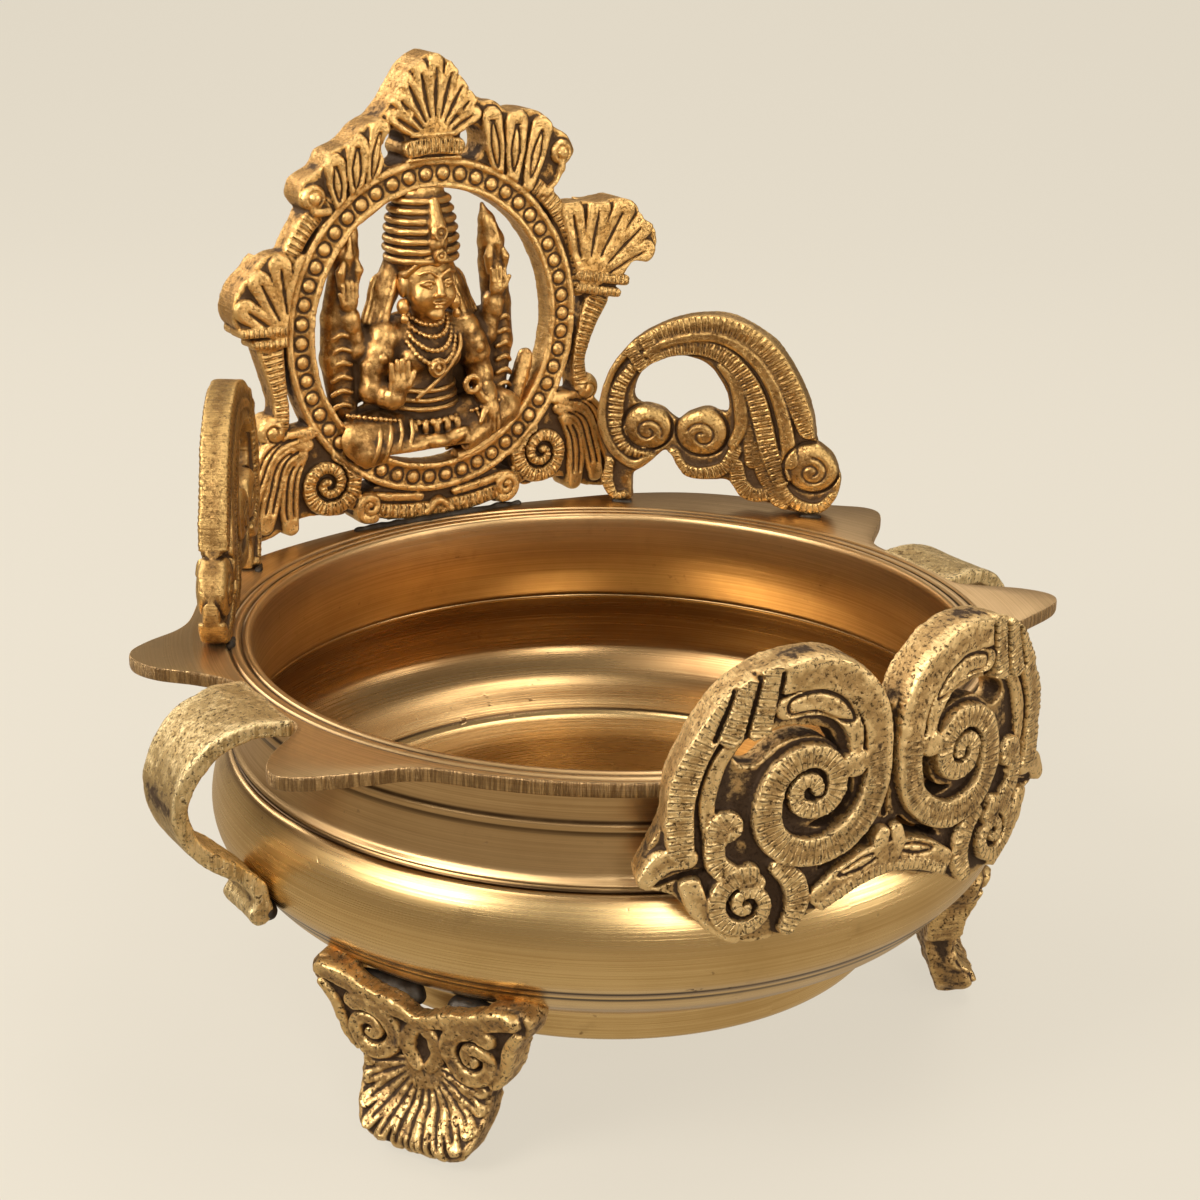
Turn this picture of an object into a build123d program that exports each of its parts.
from build123d import *
import os
from math import cos, radians, sin

os.makedirs("parts", exist_ok=True)

# Brass urli bowl. Millimetres, +Z up, origin on the ground on the bowl's axis.
# The front scroll panel faces -Y, the deity arch stands at +Y, handles are on +X and -X.
# Angles round the bowl are counted from -Y towards +X.

# ---- driving dimensions -------------------------------------------------------------------
RIM_Z = 88.0                 # top of the flange
LIP_R = 78.0                 # inner radius of the mouth
FLANGE_R = 85.0              # outer radius of the plain flange
FLANGE_T = 3.0
NECK_R = 80.5
SEAM_R = 83.4                # where the neck is joined to the belly
SEAM_Z = 65.5
SEAM_WALL = 3.2
BELLY_R = 88.0
BELLY_Z = 52.0
RIDGE_R = 84.5               # lower edge of the belly
RIDGE_Z = 43.5
FLOOR_Z = 28.0               # inside floor at the middle
FLOOR_T = 3.0
BASE_R = 64.0                # ring under the bowl
BASE_Z = 20.5
BASE_W = 5.5
SEAT_Z = 29.0                # flat underside where the base ring sits

ARCH_X = 3.0                 # the arch stands slightly off the centre line
ARCH_Y = 85.0                # its front face
RING_Z = 136.0               # middle of the beaded ring
RING_RX, RING_RZ = 39.5, 41.0
RING_BAND = 7.2
RING_T = 6.5
ARCH_T = 10.0                # palmettes and base are thicker than the ring

FIGURE_X = 0.5
FIGURE_Y = 88.0

WING_T = 6.0
BOSS_T = 0.8                 # how far the round bosses stand out of the wings
WING_RIGHT = (135.0, 90.0, 1.5)          # angle, distance from the axis, shift to the arch
WING_LEFT = (121.0, 84.0, 19.3)

PANEL_X = 2.5                # the front panel sits slightly right of the middle
PANEL_Y = 20.0               # axis of the curve that it follows
PANEL_R = 115.0
PANEL_T = 8.0

FOOT_ANGLES = {"foot_front_right": 60.0, "foot_front_left": -60.0, "foot_back": 180.0}
TOE_HALF = 5.5               # half width of the flat toe

HANDLE_Y = -4.0
HANDLE_T = 3.6
HANDLE_ROOT = 12.0           # half width at the flange
HANDLE_END = 6.5             # half width at the belly

# Flange outlines, (angle, radius) from the front tabs to the back. The two back tabs differ.
FRONT_EDGE = [
    (0, 85.0), (25, 85.0), (48, 85.4), (57, 87.0), (62, 94.0), (67, 102.5), (70, 104.0),
    (73, 99.0), (77, 87.0), (82, 85.0), (92, 85.0),
]
BACK_RIGHT = [
    (99, 86.5), (103, 94.0), (107, 106.0), (110, 109.0), (114, 106.0), (120, 101.0),
    (127, 101.0), (136, 99.5), (145, 96.0), (156, 91.0), (168, 88.5), (180, 88.0),
]
BACK_LEFT = [
    (97, 86.5), (101, 92.0), (104, 99.0), (107, 103.0), (110, 103.5), (113, 100.0), (117, 94.0),
    (122, 92.0), (132, 93.3), (141, 94.5), (150, 92.0), (160, 89.6), (170, 88.3), (180, 88.0),
]


def polar(angle, radius):
    """Point in plan at an angle counted from -Y towards +X."""
    return (radius * sin(radians(angle)), -radius * cos(radians(angle)))


def save(item, name):
    item.part.label = name
    export_step(item.part, f"parts/{name}.step")


# ---- bowl: belly, ridge and floor in one turned shell --------------------------------------
with BuildPart() as bowl:
    with BuildSketch(Plane.XZ):
        with BuildLine():
            inner_seam = (SEAM_R - SEAM_WALL, SEAM_Z)
            belly = Spline(
                (SEAM_R + 0.6, SEAM_Z - 1.2), (86.6, 58.5), (BELLY_R, BELLY_Z), (87.2, 47.5),
                (RIDGE_R + 0.4, RIDGE_Z + 0.6),
            )
            Polyline(inner_seam, (SEAM_R - 0.6, SEAM_Z), (SEAM_R - 0.6, SEAM_Z - 1.2), belly @ 0)
            ridge = Polyline(belly @ 1, (RIDGE_R, RIDGE_Z), (RIDGE_R - 1.4, RIDGE_Z - 1.6))
            under = Spline(ridge @ 1, (79.0, 36.6), (73.0, 32.4), (66.5, SEAT_Z))
            seat = Line(under @ 1, (BASE_R - BASE_W, SEAT_Z))
            bottom = Spline(seat @ 1, (40.0, FLOOR_Z - FLOOR_T + 0.9), (0.0, FLOOR_Z - FLOOR_T))
            Line(bottom @ 1, (0.0, FLOOR_Z))
            floor_line = Spline((0.0, FLOOR_Z), (40.0, FLOOR_Z + 0.9), (60.0, 32.4), (70.0, 36.2))
            step = Line(floor_line @ 1, (70.6, 37.6))
            Spline(step @ 1, (79.5, 42.6), (84.6, 50.5), (83.8, 58.0), inner_seam)
        make_face()
    revolve(axis=Axis.Z)

with BuildPart() as bowl_envelope:
    with BuildSketch(Plane.XZ):
        with BuildLine():
            skin = Spline(
                (SEAM_R + 0.6, SEAM_Z - 1.2), (86.6, 58.5), (BELLY_R, BELLY_Z), (87.2, 47.5),
                (RIDGE_R + 0.4, RIDGE_Z + 0.6),
            )
            lower = Polyline(skin @ 1, (RIDGE_R, RIDGE_Z), (RIDGE_R - 1.4, RIDGE_Z - 1.6))
            hull = Spline(lower @ 1, (79.0, 36.6), (73.0, 32.4), (66.5, SEAT_Z))
            Polyline(hull @ 1, (BASE_R, SEAT_Z), (BASE_R, BASE_Z), (0, BASE_Z), (0, RIM_Z))
            Polyline((0, RIM_Z), (NECK_R, RIM_Z), (NECK_R, SEAM_Z), (SEAM_R, SEAM_Z), skin @ 0)
        make_face()
    revolve(axis=Axis.Z)

# ---- base ring under the bowl ---------------------------------------------------------------
with BuildPart() as base_ring:
    with BuildSketch(Plane.XZ):
        with BuildLine():
            Polyline(
                (BASE_R - BASE_W, SEAT_Z), (BASE_R + 1.6, SEAT_Z), (BASE_R + 0.2, SEAT_Z - 2.4),
                (BASE_R, BASE_Z + 2.0), (BASE_R - 1.6, BASE_Z), (BASE_R - BASE_W + 0.6, BASE_Z),
                (BASE_R - BASE_W, BASE_Z + 1.0), close=True,
            )
        make_face()
    revolve(axis=Axis.Z)

# ---- rim collar: neck, grooved flange and its four tabs ------------------------------------
with BuildPart() as rim_collar:
    with BuildSketch(Plane.XZ):
        with BuildLine():
            Polyline(
                (SEAM_R - SEAM_WALL, SEAM_Z), (SEAM_R, SEAM_Z), (SEAM_R - 1.2, SEAM_Z + 1.4),
                (81.3, 74.0), (NECK_R + 0.3, 76.2), (NECK_R + 0.9, 77.0), (NECK_R, 78.0),
                (NECK_R + 0.4, 83.4), (NECK_R + 1.6, RIM_Z - FLANGE_T),
                (FLANGE_R, RIM_Z - FLANGE_T), (FLANGE_R, RIM_Z), (83.6, RIM_Z),
                (83.3, RIM_Z - 0.5), (82.7, RIM_Z - 0.5), (82.4, RIM_Z - 0.1),
                (80.9, RIM_Z - 0.1), (80.6, RIM_Z - 0.5), (80.1, RIM_Z - 0.5),
                (79.8, RIM_Z - 0.1), (LIP_R + 0.6, RIM_Z - 0.1), (LIP_R, RIM_Z - 0.7),
                (LIP_R - 0.4, 80.0), (LIP_R + 0.3, 73.0), close=True,
            )
        make_face()
    revolve(axis=Axis.Z)
    with BuildSketch(Plane.XY.offset(RIM_Z - FLANGE_T)):
        with BuildLine():
            Spline([polar(a, r) for a, r in FRONT_EDGE + BACK_RIGHT])
            Spline([polar(-a, r) for a, r in FRONT_EDGE + BACK_LEFT])
        make_face()
        Circle(FLANGE_R - 1.3, mode=Mode.SUBTRACT)
    extrude(amount=FLANGE_T)

# ---- shared outlines of the castings ---------------------------------------------------------


def leaf_fan(reach, half_width, lobes):
    """Fan-shaped palmette in the current sketch: lobes round its root at the origin."""
    for i in range(lobes):
        tilt = (i / (lobes - 1) - 0.5) * 2
        length = reach * (1.0 - 0.16 * tilt * tilt)
        with Locations(Location((0, 0), -tilt * half_width)):
            with Locations((0, length / 2)):
                Ellipse(reach * 0.21, length / 2)


# ---- back arch: beaded ring, palmettes, struts and base scrolls in one casting ---------------
ARCH_PLANE = Plane(origin=(ARCH_X, ARCH_Y, RIM_Z), x_dir=(1, 0, 0), z_dir=(0, -1, 0))
RING_H = RING_Z - RIM_Z


def crest_outline():
    """Right half of the crest above the ring, from the apex to the side palmette's root."""
    return [
        (0, 113.5), (5, 111.2), (9.5, 105), (14, 101), (21, 99.5), (28, 97.5), (34.5, 93.5),
        (39.5, 88), (38.5, 83), (33, 79.5),
    ]


with BuildPart() as back_arch:
    with BuildSketch(ARCH_PLANE):
        with Locations((0, RING_H)):
            Ellipse(RING_RX, RING_RZ)
            Ellipse(RING_RX - RING_BAND, RING_RZ - RING_BAND, mode=Mode.SUBTRACT)
    extrude(amount=-RING_T)
    with BuildSketch(ARCH_PLANE):
        with BuildLine():
            crest = Spline(crest_outline())
            mirror(crest, about=Plane.YZ)
            Line(crest @ 1, (27, 76))
            Line((27, 76), (-27, 76))
            Line((-27, 76), (-33, 79.5))
        make_face()
        for side in (-1, 1):
            with Locations((side * 10.5, 91.5)):
                Ellipse(3.2, 4.0, mode=Mode.SUBTRACT)
        with Locations((0, RING_H)):
            Ellipse(RING_RX - RING_BAND + 1, RING_RZ - RING_BAND + 1, mode=Mode.SUBTRACT)
    extrude(amount=-ARCH_T)
    with BuildSketch(ARCH_PLANE):
        with Locations(Location((37, 57), -62)):
            leaf_fan(25, 33, 5)
        with Locations(Location((-36, 52), 58)):
            leaf_fan(20, 36, 5)
    extrude(amount=-ARCH_T)
    with BuildSketch(ARCH_PLANE):
        for side in (-1, 1):
            with BuildLine():
                strut = Polyline(
                    (side * 36, 27), (side * 41, 28), (side * 44, 42), (side * 50, 56),
                    (side * 44, 64), (side * 34, 76), (side * 29, 80), (side * 27, 76),
                    (side * 36, 58), (side * 38, 44), close=True,
                )
            make_face()
            with Locations((side * 44, 25)):
                Circle(5)
    extrude(amount=-RING_T)
    with BuildSketch(ARCH_PLANE):
        for side in (-1, 1):
            with Locations((side * 31, 13)):
                Circle(10)
            with BuildLine():
                leaves = Spline(
                    (side * 30, 27), (side * 40, 24), (side * 46, 15), (side * 50.5, 5),
                    (side * 54, 0.5),
                )
                under_leaf = Spline(
                    (side * 42, 0.5), (side * 38.5, 4), (side * 37, 9), (side * 33, 12),
                )
                Line(leaves @ 1, under_leaf @ 0)
                Polyline(under_leaf @ 1, (side * 26, 18), leaves @ 0)
            make_face()
        Trapezoid(46, 8, 68, align=(Align.CENTER, Align.MIN))
        with Locations((0, RING_H)):
            Ellipse(RING_RX - 1, RING_RZ - 1, mode=Mode.SUBTRACT)
    extrude(amount=-RING_T - 1.5)

# ---- seated figure held inside the ring -------------------------------------------------------


def limb(start, end, radius):
    """A rounded limb between two points of the figure's own space."""
    run = Vector(*end) - Vector(*start)
    with BuildSketch(Plane(origin=start, z_dir=run)) as section:
        Circle(radius)
    extrude(section.sketch, amount=run.length)
    with Locations(start, end):
        Sphere(radius)


with BuildPart() as seated_figure:
    base_h = RIM_Z + 14.0
    with BuildSketch(Plane(origin=(FIGURE_X, FIGURE_Y, 0), x_dir=(1, 0, 0), z_dir=(0, -1, 0))):
        with BuildLine():
            front = Polyline(
                (0, base_h + 6), (9.5, base_h + 6), (7.0, base_h + 20), (6.2, base_h + 26),
                (9.5, base_h + 36), (8.0, base_h + 40), (3.2, base_h + 42), (3.0, base_h + 46),
                (0, base_h + 46), close=True,
            )
        make_face()
    revolve(axis=Axis((FIGURE_X, FIGURE_Y, 0), (0, 0, 1)))
    with Locations((FIGURE_X, FIGURE_Y, base_h + 47)):
        Sphere(6.6)
    with Locations((FIGURE_X, FIGURE_Y, base_h + 59)):
        Cone(7.0, 5.0, 18)
    for side in (-1, 1):
        hip = (FIGURE_X + side * 5, FIGURE_Y, base_h + 6)
        knee = (FIGURE_X + side * 20, FIGURE_Y - 1, base_h + 9)
        ankle = (FIGURE_X - side * 6, FIGURE_Y - 3, base_h + 4)
        shoulder = (FIGURE_X + side * 9, FIGURE_Y, base_h + 37)
        elbow = (FIGURE_X + side * 13, FIGURE_Y - 2, base_h + 23)
        hand = (FIGURE_X + side * 11, FIGURE_Y - 5, base_h + 19)
        upper_hand = (FIGURE_X + side * 19, FIGURE_Y + 1, base_h + 46)
        limb(hip, knee, 5.2)
        limb(knee, ankle, 3.6)
        limb(shoulder, elbow, 3.2)
        limb(elbow, hand, 3.0)
        limb(shoulder, upper_hand, 3.0)
        with BuildSketch(Plane(origin=(FIGURE_X, FIGURE_Y + 3, 0), x_dir=(1, 0, 0), z_dir=(0, -1, 0))):
            with BuildLine():
                flame = Polyline(
                    (side * 14, base_h + 16), (side * 24, base_h + 20), (side * 24.5, base_h + 44),
                    (side * 19.5, base_h + 60), (side * 15, base_h + 46), close=True,
                )
            make_face()
        extrude(amount=4.5)
    with BuildSketch(Plane(origin=(FIGURE_X, FIGURE_Y + 4, 0), x_dir=(1, 0, 0), z_dir=(0, -1, 0))):
        with BuildLine():
            Polyline(
                (-30, base_h + 8), (-14, base_h), (14, base_h), (28, base_h + 8),
                (24, base_h + 24), (-26, base_h + 24), close=True,
            )
        make_face()
    extrude(amount=4.5)
    inner_rx = RING_RX - RING_BAND
    inner_rz = RING_RZ - RING_BAND
    with BuildSketch(ARCH_PLANE.offset(6)) as ring_hole:
        with Locations((0, RING_H)):
            Ellipse(inner_rx, inner_rz)
    extrude(ring_hole.sketch, amount=-13, mode=Mode.INTERSECT)

# ---- wings: arched peacock scrolls standing on the flange --------------------------------------
WING_BOSSES = (((8, 21.5), 6.3), ((-6, 21.2), 6.8), ((-33, 12.5), 6.5))


def wing_plane(side, angle, offset, shift):
    """Upright plane through a wing's middle: x runs towards the arch, shifted that way."""
    out = Vector(*polar(side * angle, 1.0), 0)
    towards_arch = Vector(-out.Y, out.X, 0) * side
    origin = out * offset + towards_arch * shift + Vector(0, 0, RIM_Z)
    return Plane(origin=origin, x_dir=towards_arch, z_dir=out * side)


def build_wing(plane):
    with BuildPart() as wing:
        with BuildSketch(plane):
            with BuildLine():
                back = Spline(
                    (17, 0), (20.8, 4.7), (19.5, 10.3), (22, 18.8), (21, 27.3), (18, 35.7), (12, 42.8),
                    (3, 48), (-7, 50.4), (-15, 48.8), (-23, 43.7), (-29, 35.7), (-33, 26.8),
                    (-38.5, 19.8), (-41, 11.3), (-39.5, 3.8), (-36, 0),
                )
                Line(back @ 1, (-29, 0))
                belly_line = Spline(
                    (-29, 0), (-27, 4.2), (-22, 6.5), (-15, 8.6), (-9, 10.6), (-1, 12), (3, 15),
                    (7, 13.2), (10.5, 10), (12.5, 5.6), (12, 0),
                )
                Line(belly_line @ 1, back @ 0)
            make_face()
            with BuildLine():
                Spline(
                    (11, 28.4), (9.5, 33), (5.5, 37.2), (-1, 39.3), (-7, 37.2), (-11, 33),
                    (-13, 28.6), (-6.5, 28.8), (-1, 27.2), (5, 28.8), periodic=True,
                )
            make_face(mode=Mode.SUBTRACT)
        extrude(amount=WING_T / 2, both=True)
        with BuildSketch(plane):
            for centre, radius in WING_BOSSES:
                with Locations(centre):
                    Circle(radius)
        extrude(amount=WING_T / 2 + BOSS_T, both=True)
    return wing


wing_planes = {1: wing_plane(1, *WING_RIGHT), -1: wing_plane(-1, *WING_LEFT)}
wing_right = build_wing(wing_planes[1])
wing_left = build_wing(wing_planes[-1])

# ---- front scroll panel, curved round the bowl ---------------------------------------------------
PANEL_PLANE = Plane(origin=(PANEL_X, 0, RIM_Z), x_dir=(1, 0, 0), z_dir=(0, -1, 0))

with BuildPart() as front_scroll_panel:
    with BuildSketch(PANEL_PLANE):
        with BuildLine():
            half = Spline(
                (0, 12.5), (4.5, 19), (11.5, 24.6), (20, 26.6), (28.5, 25.2), (36, 20.3),
                (41.5, 12), (44.5, 4), (46, -4), (51, -11.5), (46, -15.5), (41, -20),
                (36.5, -26), (29, -30.5), (21, -30), (15.5, -25.4), (9, -23.6), (0, -21.2),
            )
            mirror(half, about=Plane.YZ)
        make_face()
        for side in (-1, 1):
            with BuildLine():
                Spline(
                    (side * 33.5, 8), (side * 30, 12), (side * 23, 13.6), (side * 13, 12.0),
                    (side * 7.5, 7.5), (side * 5.5, 1), (side * 7.5, -7.5), (side * 12.5, -11.5),
                    (side * 15, -9.5), (side * 11, -1), (side * 15.5, 7), (side * 23, 9.8),
                    (side * 29.5, 7.5), periodic=True,
                )
            make_face(mode=Mode.SUBTRACT)
            with BuildLine():
                Spline(
                    (side * 1.5, -13.5), (side * 7, -14.5), (side * 12.5, -16.2),
                    (side * 15, -19), (side * 9, -19), (side * 2.5, -17.2), periodic=True,
                )
            make_face(mode=Mode.SUBTRACT)
    extrude(amount=PANEL_R)
    with BuildSketch(Plane.XY) as curve:
        with Locations((PANEL_X, PANEL_Y)):
            Circle(PANEL_R)
            Circle(PANEL_R - PANEL_T, mode=Mode.SUBTRACT)
    extrude(curve.sketch, amount=RIM_Z + 40, mode=Mode.INTERSECT)
    with BuildSketch(Plane.XY) as front_half:
        with Locations((0, -PANEL_R / 2)):
            Rectangle(2 * PANEL_R, PANEL_R)
    extrude(front_half.sketch, amount=RIM_Z + 40, mode=Mode.INTERSECT)
    add(bowl_envelope.part, mode=Mode.SUBTRACT)

# ---- strap handles -------------------------------------------------------------------------------

with BuildPart() as handle_right:
    with BuildSketch(Plane.XZ.offset(-HANDLE_Y - 15)):
        with BuildLine():
            strap_line = Spline(
                (84, RIM_Z - 1.5), (91.5, RIM_Z - 0.6), (99.5, 84.4), (105, 77.5), (106.2, 70.5),
                (102.5, 62), (95.5, 56.2), (90.2, 51), (88.9, 46.6),
            )
        trace(strap_line, line_width=HANDLE_T)
    extrude(amount=30)
    with BuildSketch(Plane(origin=(70, HANDLE_Y, 0), x_dir=(0, 1, 0), z_dir=(1, 0, 0))) as plan:
        with BuildLine():
            Polyline(
                (-HANDLE_ROOT, RIM_Z + 2), (HANDLE_ROOT, RIM_Z + 2),
                (HANDLE_ROOT - 3, RIM_Z - 9), (HANDLE_END, RIM_Z - 26), (HANDLE_END, 42),
                (-HANDLE_END, 42), (-HANDLE_END, RIM_Z - 26), (-HANDLE_ROOT + 3, RIM_Z - 9),
                close=True,
            )
        make_face()
    extrude(plan.sketch, amount=60, mode=Mode.INTERSECT)
    with Locations((89.4, HANDLE_Y, 45)):
        Cylinder(2.6, 2 * HANDLE_END, rotation=(90, 0, 0))
    add(bowl_envelope.part, mode=Mode.SUBTRACT)
    add(rim_collar.part, mode=Mode.SUBTRACT)

with BuildPart() as handle_left:
    mirror(handle_right.part, about=Plane.YZ)
    add(rim_collar.part, mode=Mode.SUBTRACT)

# ---- feet ------------------------------------------------------------------------------------------


def foot_plane(angle):
    """Upright plane through the bowl's axis whose normal points out along the angle."""
    out = Vector(*polar(angle, 1.0), 0)
    return Plane(origin=(0, 0, 0), x_dir=Vector(-out.Y, out.X, 0), z_dir=out)


def foot_face():
    """Right edge of the foot seen from outside, from the top notch to just above the toe."""
    return [
        (0, 31), (6, 33.5), (13, 36.5), (19.5, 38.6), (25, 38), (25.5, 33), (21.5, 27.5),
        (18.5, 21), (14.5, 14.5), (11.5, 8), (9, 2.2),
    ]


def build_foot(angle):
    with BuildPart() as foot:
        face_plane = foot_plane(angle)
        with BuildSketch(face_plane):
            with BuildLine():
                outline = Spline(foot_face())
                Polyline(outline @ 1, (TOE_HALF, 0), (0, 0))
                mirror(about=Plane.YZ)
            make_face()
        extrude(amount=100)
        side_plane = Plane(origin=(0, 0, 0), x_dir=face_plane.z_dir, z_dir=-face_plane.x_dir)
        with BuildSketch(side_plane) as side:
            with BuildLine():
                inner = Spline((73.5, 40), (72, 30), (71.5, 18), (74, 8), (77, 0))
                outer = Spline((84, 0), (87, 3.5), (84.5, 7.5), (81, 11), (80.2, 20), (82, 30), (85, 40))
                Line(inner @ 1, outer @ 0)
                Line(outer @ 1, inner @ 0)
            make_face()
        extrude(side.sketch, amount=40, both=True, mode=Mode.INTERSECT)
        add(bowl_envelope.part, mode=Mode.SUBTRACT)
    return foot


feet = {name: build_foot(angle) for name, angle in FOOT_ANGLES.items()}

# ---- solder fillets that hold the castings on ---------------------------------------------------------

with BuildPart() as solder_feet:
    for angle in FOOT_ANGLES.values():
        behind = foot_plane(angle)
        with BuildSketch(Plane(origin=behind.z_dir * 70.5, x_dir=behind.x_dir, z_dir=behind.z_dir)):
            with Locations((0, 31.5)):
                Ellipse(11, 3.4)
        extrude(amount=4)
    add(bowl_envelope.part, mode=Mode.SUBTRACT)
    for item in feet.values():
        add(item.part, mode=Mode.SUBTRACT)


def handle_solder(name, side, handle):
    with BuildPart() as bead:
        with Locations((side * 86.9, HANDLE_Y, 43.6)):
            Cylinder(2.4, 2 * HANDLE_END - 2, rotation=(90, 0, 0))
        add(bowl_envelope.part, mode=Mode.SUBTRACT)
        add(handle.part, mode=Mode.SUBTRACT)
    save(bead, name)


handle_solder("solder_handle_right", 1, handle_right)
handle_solder("solder_handle_left", -1, handle_left)

with BuildPart() as solder_arch:
    with BuildSketch(Plane.YZ.offset(ARCH_X - 26)):
        with BuildLine():
            Polyline(
                (ARCH_Y, RIM_Z), (ARCH_Y, RIM_Z + 1.8), (ARCH_Y - 1.0, RIM_Z + 0.8),
                (ARCH_Y - 2.2, RIM_Z), close=True,
            )
        make_face()
    extrude(amount=52)

with BuildPart() as solder_wings:
    for side, wing in wing_planes.items():
        out = wing.z_dir * side
        for run in (-34.0, 14.5):
            spot = wing.origin - out * (WING_T / 2) + wing.x_dir * (run - 2.0)
            with BuildSketch(Plane(origin=spot, x_dir=-out, z_dir=wing.x_dir)):
                with BuildLine():
                    Polyline((0, 0), (2.0, 0), (0.8, side * 0.8), (0, side * 2.0), close=True)
                make_face()
            extrude(amount=4.0)

with BuildPart() as solder_front_panel:
    with Locations((PANEL_X - 20, -84, RIM_Z - 1.75), (PANEL_X + 20, -84, RIM_Z - 1.75)):
        Box(12, 8, 2.2)
    add(front_scroll_panel.part, mode=Mode.SUBTRACT)
    add(rim_collar.part, mode=Mode.SUBTRACT)

# ---- write every piece ------------------------------------------------------------------------------------
save(bowl, "bowl")
save(base_ring, "base_ring")
save(rim_collar, "rim_collar")
save(back_arch, "back_arch")
save(seated_figure, "seated_figure")
save(wing_right, "wing_right")
save(wing_left, "wing_left")
save(front_scroll_panel, "front_scroll_panel")
save(handle_right, "handle_right")
save(handle_left, "handle_left")
for foot_name, foot_item in feet.items():
    save(foot_item, foot_name)
save(solder_feet, "solder_feet")
save(solder_arch, "solder_arch")
save(solder_wings, "solder_wings")
save(solder_front_panel, "solder_front_panel")
